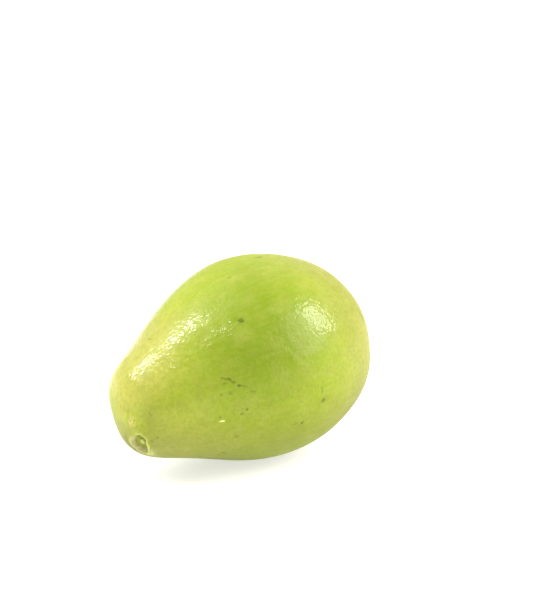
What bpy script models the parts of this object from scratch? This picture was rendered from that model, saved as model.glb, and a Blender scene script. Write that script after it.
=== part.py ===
# A green, pear-shaped guava as picked, lying on its side on a small flat spot.
# The neck with the stem scar points to -X and the blossom end with the calyx to +X.
# Metres, +Z up, origin under the middle of the fruit on the surface it lies on.

import math

import bmesh
import bpy
import numpy as np
from mathutils import Matrix, Vector

MM = 0.001

# The body, before any hollow or flat
HALF_LENGTH = 46.3 * MM
MIDDLE_RADIUS = 33.1 * MM  # half-way along the axis, which makes the greatest width about 68 mm
HEIGHT_SHARE = 0.973  # height of a cross-section over its width
TAPER = 0.294  # how much slimmer the stem half is than the blossom half
WAIST = 0.233  # how much both halves draw in
SHOULDER = 0.130  # what the neck keeps of its width close to the stem end
BLUNTNESS = 0.448  # how flat both ends are
BEND_START = 8.4 * MM  # past the middle, towards the blossom end
BEND_RADIUS_SIDE = 224 * MM  # of the neck's centre line, towards -Y
BEND_RADIUS_DOWN = 276 * MM
LYING_TILT = math.radians(5.7)  # the axis rises this much towards the blossom end

# Broad dents and swellings: polar angle from the stem end, turn about the axis, width, height
SWELLINGS = (
    (math.radians(46), math.radians(62), 9 * MM, -0.8 * MM),
    (math.radians(25), math.radians(24), 7 * MM, 0.6 * MM),
    (math.radians(9.5), math.radians(352), 6.5 * MM, -0.8 * MM),
    (math.radians(110), math.radians(300), 22 * MM, 0.4 * MM),
)

# The stem scar, where the stalk came away
SCAR_POLAR = math.radians(19)
SCAR_TURN = math.radians(222)
SCAR_RIM_RADIUS = 4.7 * MM
SCAR_RIM_WIDTH = 0.9 * MM
SCAR_RIM_HEIGHT = 0.6 * MM
SCAR_DEPTH = 1.5 * MM
SCAR_WALL = (0.55, 0.95)  # where the wall of the hollow ends and starts, over the rim's radius
SCAR_BOSS_RADIUS = 1.9 * MM
SCAR_BOSS_HEIGHT = 1.0 * MM
SCAR_BOSS_SLOPE = (0.5, 1.1)  # where its slope starts and ends, over its radius
SCAR_RIPPLES = 5
SCAR_RIPPLE = 0.1  # of the rim's radius and height

# The blossom end: a shallow basin with faint ribs, and in it the seat of the calyx
BASIN_RADIUS = 10 * MM
BASIN_DEPTH = 1.6 * MM
RIB_COUNT = 5
RIB_HEIGHT = 0.3 * MM
RIB_REACH = 20 * MM
SEAT_RADIUS = 4.6 * MM
SEAT_EDGE = 0.5 * MM
SEAT_DEPTH = 1.2 * MM

# The calyx: a short cup that carries the dried sepals
CLEARANCE = 0.3 * MM  # between the calyx and its seat
CUP_RADIUS = 3.9 * MM
CUP_HEIGHT = 1.9 * MM
CUP_EDGE = 0.5 * MM
CUP_EDGE_STEPS = 3
CUP_DISH = 0.6 * MM
STYLE_RADIUS = 0.6 * MM
STYLE_HEIGHT = 1.5 * MM
STYLE_TIP = 0.3 * MM
SEPAL_COUNT = 5
SEPAL_LENGTH = 5.6 * MM
SEPAL_WIDTH = 4.9 * MM
SEPAL_THICKNESS = 0.9 * MM
SEPAL_ROOT_RADIUS = 3.2 * MM
SEPAL_ROOT_HEIGHT = 0.5 * MM
SEPAL_SPREAD = math.radians(28)  # outward lean at the root
SEPAL_CURLS = tuple(math.radians(a) for a in (62, 96, 44, 100, 78))  # inward, root to tip
SEPAL_CUPPING = 0.7 * MM  # how far a sepal's edges stand in from its middle
SEPAL_ROOT_BREADTH = 0.75  # over the width, as the next two are
SEPAL_WIDENING = 0.9  # from the root on
SEPAL_CLOSING = 1.35  # towards the tip

# The flat spot that the fruit rests on
FLAT_DEPTH = 0.5 * MM
CUTTER_SIZE = 60 * MM

# Mesh fineness
BODY_SEGMENTS = 64
BODY_RINGS = 54
END_CROWDING = (0.25, 0.08)  # draws the rings together at the scar and at the blossom end
CUP_SEGMENTS = 30
SEPAL_ROWS = 9
SEPAL_COLUMNS = 8
SHARP_EDGE = math.radians(50)
MERGE_DISTANCE = 0.01 * MM
NORMAL_STEP = 1e-3  # in radians


def material(name, colour, roughness):
    """A plain Principled material in linear colour."""
    made = bpy.data.materials.new(name)
    made.use_nodes = True
    shader = made.node_tree.nodes["Principled BSDF"]
    shader.inputs["Base Color"].default_value = (*colour, 1)
    shader.inputs["Roughness"].default_value = roughness
    shader.inputs["Metallic"].default_value = 0
    made.diffuse_color = (*colour, 1)
    return made


def smooth_step(low, high, value):
    """0 below low, 1 above high, with a soft change between."""
    share = np.clip((value - low) / (high - low), 0, 1)
    return share * share * (3 - 2 * share)


def bell(distance, width):
    """A round bump of height 1 that has faded out at twice its width."""
    return np.exp(-((distance / width) ** 2))


def body_point(polar, turn):
    """The plain body: polar is the angle from the stem end, turn goes about the axis from +Y to +Z."""
    c = np.cos(polar)
    swell = 1 - TAPER * c - WAIST * c**2 + SHOULDER * c**3 + BLUNTNESS * c**4
    radius = MIDDLE_RADIUS * np.sin(polar) * swell
    x = -HALF_LENGTH * c
    neck = np.clip(BEND_START - x, 0, None)
    y = radius * np.cos(turn) - neck**2 / (2 * BEND_RADIUS_SIDE)
    z = radius * np.sin(turn) * HEIGHT_SHARE - neck**2 / (2 * BEND_RADIUS_DOWN)
    return np.stack([x, y, z], -1)


def body_normal(polar, turn):
    """The outward normal of the plain body, away from its two poles."""
    along = body_point(polar + NORMAL_STEP, turn) - body_point(polar - NORMAL_STEP, turn)
    around = body_point(polar, turn + NORMAL_STEP) - body_point(polar, turn - NORMAL_STEP)
    normal = np.cross(around, along)
    return normal / np.linalg.norm(normal, axis=-1, keepdims=True)


def slid_to_scar(across, turn):
    """Polar angle and turn on the body for a grid whose first pole sits on the stem scar."""
    pole = np.array([-1.0, 0.0, 0.0])
    scar = np.array(
        [
            -math.cos(SCAR_POLAR),
            math.sin(SCAR_POLAR) * math.cos(SCAR_TURN),
            math.sin(SCAR_POLAR) * math.sin(SCAR_TURN),
        ]
    )
    hinge = np.cross(pole, scar)
    hinge /= np.linalg.norm(hinge)
    way = np.stack([-np.cos(across), np.sin(across) * np.cos(turn), np.sin(across) * np.sin(turn)], -1)
    angle = (SCAR_POLAR * (1 + np.cos(across)) / 2)[..., None]
    along = (way @ hinge)[..., None] * hinge
    way = along + (way - along) * np.cos(angle) + np.cross(hinge, way) * np.sin(angle)
    return np.arccos(np.clip(-way[..., 0], -1, 1)), np.arctan2(way[..., 2], way[..., 1])


def fruit_point(across, turn):
    """The finished skin, for a grid from the stem scar (across = 0) to the blossom end (pi)."""
    polar, about = slid_to_scar(across, turn)
    place = body_point(polar, about)

    for bump_polar, bump_turn, width, height in SWELLINGS:
        away = np.linalg.norm(place - body_point(bump_polar, bump_turn), axis=-1)
        place = place + (height * bell(away, width))[..., None] * body_normal(bump_polar, bump_turn)

    scar_axis = body_normal(SCAR_POLAR, SCAR_TURN)
    away = np.linalg.norm(place - body_point(SCAR_POLAR, SCAR_TURN), axis=-1)
    ripple = 1 + SCAR_RIPPLE * np.cos(SCAR_RIPPLES * turn)
    rim = SCAR_RIM_HEIGHT * ripple * bell(away - SCAR_RIM_RADIUS * ripple, SCAR_RIM_WIDTH)
    hollow = SCAR_DEPTH * (1 - smooth_step(*SCAR_WALL, away / (SCAR_RIM_RADIUS * ripple)))
    boss = SCAR_BOSS_HEIGHT * (1 - smooth_step(*SCAR_BOSS_SLOPE, away / SCAR_BOSS_RADIUS))
    place = place + (rim - hollow + boss)[..., None] * scar_axis

    away = np.hypot(place[..., 1], place[..., 2])
    blossom_half = place[..., 0] > 0
    ribs = RIB_HEIGHT * np.cos(RIB_COUNT * turn) * smooth_step(0, BASIN_RADIUS, away) * bell(away, RIB_REACH)
    basin = BASIN_DEPTH * bell(away, BASIN_RADIUS)
    seat = SEAT_DEPTH * (1 - smooth_step(SEAT_RADIUS, SEAT_RADIUS + SEAT_EDGE, away))
    place[..., 0] += np.where(blossom_half, ribs - basin - seat, 0)
    return place


def seat_floor():
    """How far the seat of the calyx lies from the middle, along the axis."""
    return HALF_LENGTH - BASIN_DEPTH - SEAT_DEPTH


def new_object(name, made_mesh, collection, finish):
    made_mesh.shade_smooth()
    made_mesh.set_sharp_from_angle(angle=SHARP_EDGE)
    made = bpy.data.objects.new(name, made_mesh)
    made.data.materials.append(finish)
    collection.objects.link(made)
    return made


def mesh_of(bm, name):
    bmesh.ops.recalc_face_normals(bm, faces=bm.faces)
    made = bpy.data.meshes.new(name)
    bm.to_mesh(made)
    bm.free()
    return made


def fruit_mesh():
    """A sphere whose points are moved on to the skin."""
    bm = bmesh.new()
    bmesh.ops.create_uvsphere(bm, u_segments=BODY_SEGMENTS, v_segments=BODY_RINGS, radius=1)
    ball = np.array([vert.co for vert in bm.verts])
    across = np.arccos(np.clip(ball[:, 2], -1, 1))
    across = across - END_CROWDING[0] * np.sin(2 * across) - END_CROWDING[1] * np.sin(4 * across)
    turn = np.arctan2(ball[:, 1], ball[:, 0])
    for vert, place in zip(bm.verts, fruit_point(across, turn)):
        vert.co = place
    return mesh_of(bm, "fruit")


def cup_mesh():
    """A turned low cup, dished on top, with the stub of the style in it, standing on z = 0."""
    bm = bmesh.new()
    edge = CUP_EDGE
    arc = [math.pi / 2 * step / CUP_EDGE_STEPS for step in range(CUP_EDGE_STEPS + 1)]
    profile = [(0, 0), (CUP_RADIUS - edge, 0)]
    profile += [(CUP_RADIUS - edge + edge * math.sin(a), edge - edge * math.cos(a)) for a in arc[1:]]
    profile += [(CUP_RADIUS - edge + edge * math.cos(a), CUP_HEIGHT - edge + edge * math.sin(a)) for a in arc]
    profile += [(CUP_RADIUS / 2, CUP_HEIGHT - CUP_DISH), (STYLE_RADIUS, CUP_HEIGHT - CUP_DISH)]
    profile += [(STYLE_RADIUS, CUP_HEIGHT + STYLE_HEIGHT), (0, CUP_HEIGHT + STYLE_HEIGHT + STYLE_TIP)]
    verts = [bm.verts.new((radius, 0, height)) for radius, height in profile]
    edges = [bm.edges.new(pair) for pair in zip(verts, verts[1:])]
    bmesh.ops.spin(
        bm, geom=verts + edges, axis=(0, 0, 1), cent=(0, 0, 0), angle=2 * math.pi, steps=CUP_SEGMENTS
    )
    bmesh.ops.remove_doubles(bm, verts=bm.verts, dist=MERGE_DISTANCE)
    return mesh_of(bm, "calyx")


def sepal_mesh(curl):
    """One sepal: an ovate blade that rises from its root at +X of the axis and curls back over it."""
    bm = bmesh.new()
    bmesh.ops.create_grid(bm, x_segments=SEPAL_COLUMNS, y_segments=SEPAL_ROWS, size=1)
    for vert in bm.verts:
        side = vert.co.x
        share = (vert.co.y + 1) / 2
        breadth = SEPAL_ROOT_BREADTH + SEPAL_WIDENING * share - SEPAL_CLOSING * share**3
        lean = SEPAL_SPREAD - curl * share / 2
        run = SEPAL_LENGTH * share
        out = SEPAL_ROOT_RADIUS + run * math.sin(lean) - SEPAL_CUPPING * (side * breadth) ** 2
        up = SEPAL_ROOT_HEIGHT + run * math.cos(lean)
        vert.co = Vector((out, side * breadth * SEPAL_WIDTH / 2, up))
    return mesh_of(bm, "sepal")


def build_calyx(collection, finish):
    cup = new_object("calyx", cup_mesh(), collection, finish)
    sepals = bpy.data.collections.new("guava_sepals")
    bpy.context.scene.collection.children.link(sepals)
    for number, curl in enumerate(SEPAL_CURLS):
        blade = new_object(f"sepal_{number}", sepal_mesh(curl), sepals, finish)
        blade.rotation_euler.z = 2 * math.pi * number / SEPAL_COUNT
        body = blade.modifiers.new("thickness", "SOLIDIFY")
        body.thickness = SEPAL_THICKNESS
        body.offset = 0
    join = cup.modifiers.new("sepals", "BOOLEAN")
    join.operation = "UNION"
    join.operand_type = "COLLECTION"
    join.collection = sepals
    join.solver = "EXACT"
    bpy.context.view_layer.update()
    whole = bpy.data.meshes.new_from_object(cup.evaluated_get(bpy.context.evaluated_depsgraph_get()))
    cup.modifiers.clear()
    cup.data = whole
    for blade in list(sepals.objects):
        bpy.data.objects.remove(blade)
    bpy.data.collections.remove(sepals)
    return cup


def lay_down(mesh_list):
    """Tips the meshes to the lying tilt, and sets the lowest point just under the surface."""
    tilt = Matrix.Rotation(-LYING_TILT, 4, "Y")
    for each in mesh_list:
        each.transform(tilt)
    points = np.array([vert.co for each in mesh_list for vert in each.vertices])
    low, high = points.min(axis=0), points.max(axis=0)
    shift = Vector((-(low[0] + high[0]) / 2, -(low[1] + high[1]) / 2, -low[2] - FLAT_DEPTH))
    for each in mesh_list:
        each.transform(Matrix.Translation(shift))


def cut_flat(fruit, cutters):
    """Takes off what reaches below the surface, with a box whose top is that surface."""
    bm = bmesh.new()
    bmesh.ops.create_cube(bm, size=CUTTER_SIZE)
    cutter = bpy.data.objects.new("ground_cutter", mesh_of(bm, "ground_cutter"))
    cutter.location.z = -CUTTER_SIZE / 2
    cutter.hide_render = True
    cutter.display_type = "WIRE"
    cutters.objects.link(cutter)
    cut = fruit.modifiers.new("flat_spot", "BOOLEAN")
    cut.operation = "DIFFERENCE"
    cut.object = cutter
    cut.solver = "EXACT"


def main():
    for old in list(bpy.data.objects):
        bpy.data.objects.remove(old)
    parts = bpy.data.collections.new("guava")
    cutters = bpy.data.collections.new("guava_cutters")
    for each in (parts, cutters):
        bpy.context.scene.collection.children.link(each)

    skin = material("green_skin", (0.46, 0.56, 0.10), 0.35)
    dry_sepal = material("dry_sepal", (0.16, 0.13, 0.05), 0.7)

    fruit = new_object("fruit", fruit_mesh(), parts, skin)
    calyx = build_calyx(parts, dry_sepal)
    on_seat = Matrix.Translation((seat_floor() + CLEARANCE, 0, 0)) @ Matrix.Rotation(math.pi / 2, 4, "Y")
    calyx.data.transform(on_seat)
    lay_down([fruit.data, calyx.data])
    cut_flat(fruit, cutters)


main()
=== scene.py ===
"""A green guava as picked, lying on its side on a pale studio sheet."""

import math
from types import SimpleNamespace

import bpy
import numpy as np
from mathutils import Matrix, Vector, noise


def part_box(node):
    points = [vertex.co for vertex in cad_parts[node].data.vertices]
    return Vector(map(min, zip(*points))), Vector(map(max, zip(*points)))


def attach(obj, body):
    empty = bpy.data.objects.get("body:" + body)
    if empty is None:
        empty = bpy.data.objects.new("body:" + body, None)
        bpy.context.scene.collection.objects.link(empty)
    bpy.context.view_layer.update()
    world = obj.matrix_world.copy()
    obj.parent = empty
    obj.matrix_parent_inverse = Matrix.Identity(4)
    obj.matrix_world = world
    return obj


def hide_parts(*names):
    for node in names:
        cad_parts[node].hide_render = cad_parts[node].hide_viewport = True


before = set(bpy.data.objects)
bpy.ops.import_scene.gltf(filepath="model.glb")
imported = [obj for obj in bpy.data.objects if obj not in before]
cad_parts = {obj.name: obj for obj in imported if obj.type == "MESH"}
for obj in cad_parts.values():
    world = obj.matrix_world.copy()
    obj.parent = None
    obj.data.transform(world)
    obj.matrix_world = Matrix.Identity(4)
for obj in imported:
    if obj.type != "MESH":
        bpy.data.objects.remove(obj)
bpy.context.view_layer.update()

MM = 0.001

# The body's own measures, in millimetres, the same as in its solids
HALF_LENGTH = 46.3
MIDDLE_RADIUS = 33.1
HEIGHT_SHARE = 0.973
TAPER, WAIST, SHOULDER, BLUNTNESS = 0.294, 0.233, 0.130, 0.448
BEND_START, BEND_RADIUS_SIDE, BEND_RADIUS_DOWN = 8.4, 224, 276
LYING_TILT = math.radians(5.7)
# Broad dents and swellings: degrees from the stem end, degrees about the axis, width, height
SWELLINGS = ((46, 62, 9, -0.8), (25, 24, 7, 0.6), (9.5, 352, 6.5, -0.8), (110, 300, 22, 0.4))

# The stem scar, drawn more finely than in the solids
SCAR_POLAR, SCAR_TURN = math.radians(19), math.radians(222)
SCAR_RIM_RADIUS, SCAR_RIM_WIDTH, SCAR_RIM_HEIGHT = 4.7, 0.9, 0.6
SCAR_DEPTH, SCAR_WALL = 1.3, (0.55, 0.95)
SCAR_BOSS_RADIUS, SCAR_BOSS_HEIGHT, SCAR_BOSS_SLOPE = 1.5, 0.6, (0.5, 1.1)
SCAR_RIPPLES, SCAR_RIPPLE = 5, 0.03
# Where the scar's rim leaves its round: turn, spread, and share of its radius in or out
SCAR_PULLS = ((190, 62, -0.47), (54, 34, -0.33), (232, 26, -0.12), (268, 22, 0.20))

# Arcs about the scar: strength, place and width over its rim's radius, and the turns and spreads it covers
BELLY_SIDE = (200, 58)
RAISED_ARCS = ((0.30, 0.96, 0.14, (BELLY_SIDE,)), (-0.35, 1.0, 0.22, ((330, 45), (20, 45))))
# A painted highlight: the pale colour along the rim's ridge, on the side towards the belly and on top
LIP_HIGHLIGHT_ARCS = ((1.3, 1.0, 0.10, (BELLY_SIDE,)), (0.8, 0.95, 0.12, ((100, 30),)))
# Painted shade: dark in the groove just inside the rim, and along the fruit's edge below the scar
CREVICE_SHADE_ARCS = (
    (0.95, 0.76, 0.10, ((172, 52),)),
    (0.5, 0.66, 0.12, ((110, 40),)),
    (0.55, 1.62, 0.24, ((318, 40), (350, 28))),
)
CORK_ARC = (1.0, 1.3, 0.45, ((262, 24),))
# Cork covers the rim on these sides; it sets in and ends between these shares of the rim's radius
CORK_SIDES, CORK_START, CORK_END = ((12, 42), (310, 50)), (0.64, 0.80), (1.0, 1.35)
# Shares of the rim's radius between which the pit's parts fade: its floor, boss, wall and outer edge
PIT_FLOOR, PIT_BOSS, PIT_WALL, PIT_EDGE = (0.45, 0.75), (0.3, 0.5), (0.25, 0.5), (1.0, 1.25)

# The blossom end
BASIN_RADIUS, BASIN_DEPTH = 10, 1.6
RIB_COUNT, RIB_HEIGHT, RIB_REACH = 5, 0.3, 20
SEAT_RADIUS, SEAT_EDGE, SEAT_DEPTH = 4.6, 0.5, 1.2
PUCKER_HEIGHT, PUCKER_PLACE, PUCKER_WIDTH = 0.16, 1.5, 2.6
# Rust about the calyx: it fades between these distances past the seat, and its edge wanders by the third
RUST_FADE, RUST_WANDER = (0.4, 2.2), 1.2

# Fineness of the skin
AROUND, RINGS = 360, 270
END_CROWDING = (0.25, 0.08)

# Relief of the skin: height and lump size
LUMPS = ((0.22, 27.0), (0.11, 12.0), (0.045, 6.0))
# Distances from the scar's middle between which the lumps set in
LUMPS_START = (4.5, 9)
CRUMB_SIZE, CRUMB_HEIGHT, FOLD_HEIGHT = 0.55, 0.06, 0.10
# How fine the scar's folds and the calyx's puckers are round their ring, and how fast they change off it
FOLD_FINENESS, FOLD_CHANGE = 3.2, 0.12
PUCKER_FINENESS, PUCKER_CHANGE = 4.2, 0.05

# Where the rind's colours lie: degrees from the stem end that each starts and ends its change at
NECK_YELLOW, BLOSSOM_YELLOW = (38, 78), (100, 142)
# The top carries painted shade and a grey painted sheen past the first span, and the blossom end shows
# weathering past the second
TOP_SHADE, BLOSSOM_WEATHERED = (78, 98), (116, 130)
STEM_GLOSS, BLOSSOM_GLOSS = (9, 24), (112, 138)
# The band of painted shade, deeper and darker where the side lamps reach least: its middle and reach, then
# the turn it lies at and its spread
SHADE_BAND, SHADE_SIDE = (83, 31), (140, 50)
# Along the ridge the wax is worn thin: its turn and spread, and the degrees it sets in at
WORN_RIDGE, WORN_START = (84, 15), (45, 62)

# What the skin tells its finish, besides the way of its grain
# Some facts carry painted shade on the rind and at the scar, and a painted highlight on the scar's rim
RIND_FACTS = ("pale", "green", "shaded_underside", "weathering_and_top_shade", "gloss", "rust")
SCAR_FACTS = ("cork", "lip_highlight", "crevice_shade", "pit_floor")

# Where the wax is rubbed matt: polar, turn, width and strength
MATT_PATCHES = (
    (46.5, 112, 2.8, 0.9),
    (72, 110, 5.5, 0.9),
    (80, 112, 8.0, 0.9),
    (57, 129, 5.0, 0.8),
    (85, 145, 8.0, 0.85),
)

# Marks: polar, turn, half length, half width, slant from the fruit's length, strength
SPOTS = (
    (79.5, 133, 1.05, 0.85, 20, 0.80),
    (80, 134, 0.45, 0.34, 20, 0.95),
    (105.3, 193.8, 1.0, 0.72, 150, 0.62),
    (104.5, 187, 1.60, 0.30, 82, 0.42),
    (96.2, 205.2, 0.62, 0.50, 140, 0.70),
    (93, 205, 0.85, 0.45, 120, 0.42),
    (72.6, 187.8, 0.62, 0.52, 140, 0.58),
    (70.6, 190.4, 0.58, 0.50, 140, 0.52),
    (69.5, 209.5, 1.20, 0.70, 10, 0.32),
    (67.5, 229.5, 0.80, 0.45, 30, 0.50),
    (66.5, 173, 0.60, 0.45, 0, 0.34),
    (61.5, 129, 0.60, 0.32, 15, 0.45),
    (87, 101.5, 0.80, 0.45, 40, 0.30),
    (126.5, 172, 0.35, 0.32, 0, 0.40),
    (47.5, 88.5, 1.50, 0.28, 80, 0.40),
    (25.5, 208.5, 0.34, 0.32, 0, 0.85),
    (26.8, 205, 0.34, 0.26, 0, 0.40),
    (29, 201.5, 0.58, 0.44, 20, 0.55),
    (25, 166.5, 0.90, 0.45, 60, 0.22),
    (66.5, 174, 0.40, 0.34, 0, 0.42),
    (63, 173, 0.45, 0.40, 0, 0.34),
    (61.6, 190, 0.42, 0.36, 0, 0.70),
)
SCUFFS = (
    (65.3, 162.5, 0.95, 0.40, 30, 0.50),
    (66.9, 164.0, 1.15, 0.50, 34, 0.75),
    (65.0, 165.8, 0.70, 0.36, 5, 0.50),
    (68.6, 166.8, 0.95, 0.46, 34, 0.62),
    (70.5, 170.4, 0.56, 0.50, 30, 0.90),
    (72.2, 171.8, 1.05, 0.34, 26, 0.48),
    (75.5, 176.8, 1.10, 0.46, 26, 0.36),
    (8.5, 161, 0.34, 0.30, 0, 0.50),
    (12, 169, 0.42, 0.36, 0, 0.50),
    (106, 91.5, 1.60, 0.55, 10, 0.70),
    (111, 91, 0.90, 0.40, 0, 0.45),
    (144, 151, 2.60, 0.60, 75, 0.40),
    (154, 157, 1.60, 0.45, 75, 0.45),
)
DRY_PATCHES = ((9.8, 176, 2.35, 1.6, 88, 0.62),)
# A painted highlight: one small glint, laid on like a mark
GLINTS = ((62.5, 193.8, 1.0, 0.32, 8, 0.95),)
MARK_DEPTH = 2.5
# A mark fades over these distances from its middle, over its half length and half width
MARK_FADE = (1.35, 0.45)
FAR_MARK_COUNT, FAR_MARK_SEED = 12, 11
# The range of each of a far mark's values, in the order above
FAR_MARK_RANGES = ((40, 150), (-75, 75), (0.3, 1.1), (0.25, 0.5), (0, 180), (0.3, 0.75))

# The dried calyx, in millimetres
CLEARANCE = 0.3
SEPAL_LENGTH, SEPAL_WIDTH, SEPAL_THICKNESS = 5.6, 4.9, 0.55
SEPAL_ROOT_RADIUS, SEPAL_ROOT_HEIGHT = 3.2, 0.5
SEPAL_SPREAD = math.radians(28)
SEPAL_CURLS = tuple(math.radians(a) for a in (62, 96, 44, 100, 78))
SEPAL_CUPPING = 0.7
SEPAL_ROOT_BREADTH, SEPAL_WIDENING, SEPAL_CLOSING = 0.75, 0.9, 1.35
SEPAL_ROWS, SEPAL_COLUMNS = 34, 27
# Shares of a sepal's thickness that it has lost at its tip and at its sides
SEPAL_TIP_THINNING, SEPAL_SIDE_THINNING = 0.45, 0.5
SEPAL_WAVE, SEPAL_EDGE_CURL = 0.32, 0.45
SEPAL_RAGGEDNESS, SEPAL_TWIST = 0.10, 0.25
# Where a sepal has withered brown, from root to tip, and where its rim has blackened, from midrib to side
SEPAL_WITHERED, SEPAL_RIM = (0.25, 0.95), (0.62, 1.0)
# Veins of a sepal: place over half its breadth, height, and width over half its breadth
SEPAL_VEINS = ((0, 0.09, 0.10), (0.42, 0.05, 0.08))

# The cup from its foot up its outside, over its lip, across its disc and up the style: radius and height
CUP_FOOT = ((0.02, 0.0), (2.0, 0.0), (3.2, 0.02), (3.65, 0.15))
CUP_SIDE = ((3.85, 0.5), (3.9, 0.9), (3.86, 1.3), (3.8, 1.7), (3.66, 2.0), (3.4, 2.12), (3.1, 2.02))
CUP_DISC = ((2.85, 1.78), (2.5, 1.55), (2.0, 1.42), (1.5, 1.36), (1.05, 1.33), (0.72, 1.36))
CUP_STYLE = ((0.62, 1.6), (0.56, 2.1), (0.5, 2.6), (0.5, 3.0), (0.58, 3.25), (0.52, 3.4), (0.3, 3.45))
CUP_PROFILE = (*CUP_FOOT, *CUP_SIDE, *CUP_DISC, *CUP_STYLE, (0.02, 3.42))
CUP_SIDES, CUP_STEPS = 150, 5
CUP_RIBS, CUP_RIB_HEIGHT = 10, 0.09
# Radii between which the ribs set in, and how far wrinkles and crumbs push the cup out and up
CUP_OUTSIDE, CUP_PUSHED_OUT, CUP_WRINKLES_UP, CUP_CRUMBS_UP = (2.9, 3.5), 0.10, 0.16, 0.07

STAMEN_COUNT, STAMEN_SEED = 38, 5
STAMEN_SIDES, STAMEN_STEPS = 6, 9
STAMEN_ROOT_RADIUS, STAMEN_ROOT_HEIGHT, STAMEN_ROOT_LEAN = (2.15, 2.75), 1.42, 0.15
STAMEN_LENGTH, STAMEN_FALL, STAMEN_SWERVE = (1.5, 2.9), (0.5, 1.3), 0.9
STAMEN_RADIUS, STAMEN_THINNING, STAMEN_TIP = 0.085, 0.03, 0.03
# The shrunken head of a stamen: height, place and width, the last two over the stamen's length
HEAD_SWELL, HEAD_PLACE, HEAD_WIDTH = 0.07, 0.93, 0.09

# How rough the rind is where it is waxed, bare or corky, and how thick its wax lies at most
WAXED_ROUGHNESS, BARE_ROUGHNESS, CORK_ROUGHNESS = (0.34, 0.46), 0.52, 0.8
WAX_WEIGHT = 0.46

# Patterns of the finishes, in millimetres
PORE_SPACING, FLECK_SPACING = 2.4, 9
WANDER_SIZE, WANDER = 0.8, 1.1
PEBBLE_SIZE, PEBBLE_HEIGHT = 1.5, 0.115
GRAIN_SIZE, GRAIN_HEIGHT = 0.75, 0.076
WRINKLE_SIZE, WRINKLE_HEIGHT = 0.4, 0.12
PAPER_FIBRE = 4

# Softboxes: the way each stands as the picture sees it (right, away, up), then its distance, width and
# height in metres, its power in watts, and whether the skin mirrors it
SOFTBOXES = {
    "right_lamp": ((0.81, 0.02, 0.58), 3.0, 0.9, 1.45, 62, True),
    "right_veil": ((0.79, -0.33, 0.51), 3.0, 2.0, 2.7, 68, True),
    "left_lamp": ((-0.44, 0.09, 0.89), 3.0, 0.22, 0.34, 31, True),
    "left_strip": ((-0.720, 0.170, 0.672), 3.0, 0.09, 1.7, 74, True),
    "left_veil": ((-0.53, 0.08, 0.84), 3.0, 0.9, 1.6, 27, True),
    "top_lamp": ((-0.17, -0.40, 0.90), 3.0, 0.16, 0.24, 6, True),
    "left_box": ((-0.84, 0.02, 0.54), 4.0, 3.0, 3.0, 34, False),
}
# A faintly warm white, as of a softbox's cloth
LAMP_COLOUR = "#FFFAF4"
AIM_HEIGHT = 0.03
ROOM_GLOW, ROOM_GLOW_MIRRORED, SHEET_GLOW = 0.47, 0.62, 0.59
# Half the sheet's side in metres, and how far it lies under the fruit in millimetres
SHEET_HALF, SHEET_DROP = 6.0, 0.1

# The camera: where it stands round the fruit, and where the fruit's middle falls in the picture
PICTURE_WIDTH, PICTURE_HEIGHT = 554, 603
VIEW_TURN, VIEW_RISE = math.radians(-32), math.radians(16)
CAMERA_DISTANCE = 662
PIXELS_PER_MM = 3.08
MIDDLE_ACROSS, MIDDLE_DOWN = 232.9, 362.1
SENSOR_HEIGHT = 36


# Small helpers


def smooth_step(low, high, value):
    """0 below low, 1 above high, with a soft change between."""
    share = np.clip((value - low) / (high - low), 0, 1)
    return share * share * (3 - 2 * share)


def bell(distance, width):
    """A round bump of height 1 that has faded out at twice its width."""
    return np.exp(-((distance / width) ** 2))


def window(turn, at, spread):
    """1 where a turn is at an angle, fading out over a spread, both in degrees."""
    return bell((np.degrees(turn) - at + 180) % 360 - 180, spread)


def lumps(places, size, seed):
    """Smooth lumps from about -1 to 1, each about one size across."""
    shift = Vector((17.3, 5.1, 9.7)) * seed
    flat = places.reshape(-1, 3)
    heights = np.array([noise.noise(Vector(place) / size + shift) for place in flat])
    return heights.reshape(places.shape[:-1])


def linear(code):
    """The linear colour of an sRGB hex value."""
    parts = [int(code[start : start + 2], 16) / 255 for start in (1, 3, 5)]
    return (*(c / 12.92 if c <= 0.04045 else ((c + 0.055) / 1.055) ** 2.4 for c in parts), 1)


# The form of the fruit


def body_point(polar, turn):
    """The plain body: polar is the angle from the stem end, turn goes about the axis from +Y to +Z."""
    c = np.cos(polar)
    swell = 1 - TAPER * c - WAIST * c**2 + SHOULDER * c**3 + BLUNTNESS * c**4
    radius = MIDDLE_RADIUS * np.sin(polar) * swell
    x = -HALF_LENGTH * c
    neck = np.clip(BEND_START - x, 0, None)
    y = radius * np.cos(turn) - neck**2 / (2 * BEND_RADIUS_SIDE)
    z = radius * np.sin(turn) * HEIGHT_SHARE - neck**2 / (2 * BEND_RADIUS_DOWN)
    return np.stack([x, y, z], -1)


def body_ways(polar, turn):
    """At a place on the body: the way along it, the way round it, and the outward normal."""
    step = 1e-3
    along = body_point(polar + step, turn) - body_point(polar - step, turn)
    around = body_point(polar, turn + step) - body_point(polar, turn - step)
    normal = np.cross(around, along)
    return [way / np.linalg.norm(way, axis=-1, keepdims=True) for way in (along, around, normal)]


def slid_to_scar(across, turn):
    """Polar angle and turn on the body for a grid whose first pole sits on the stem scar."""
    pole = np.array([-1.0, 0.0, 0.0])
    scar = np.array(
        [
            -math.cos(SCAR_POLAR),
            math.sin(SCAR_POLAR) * math.cos(SCAR_TURN),
            math.sin(SCAR_POLAR) * math.sin(SCAR_TURN),
        ]
    )
    hinge = np.cross(pole, scar)
    hinge /= np.linalg.norm(hinge)
    way = np.stack([-np.cos(across), np.sin(across) * np.cos(turn), np.sin(across) * np.sin(turn)], -1)
    angle = (SCAR_POLAR * (1 + np.cos(across)) / 2)[..., None]
    along = (way @ hinge)[..., None] * hinge
    way = along + (way - along) * np.cos(angle) + np.cross(hinge, way) * np.sin(angle)
    return np.arccos(np.clip(-way[..., 0], -1, 1)), np.arctan2(way[..., 2], way[..., 1])


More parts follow.
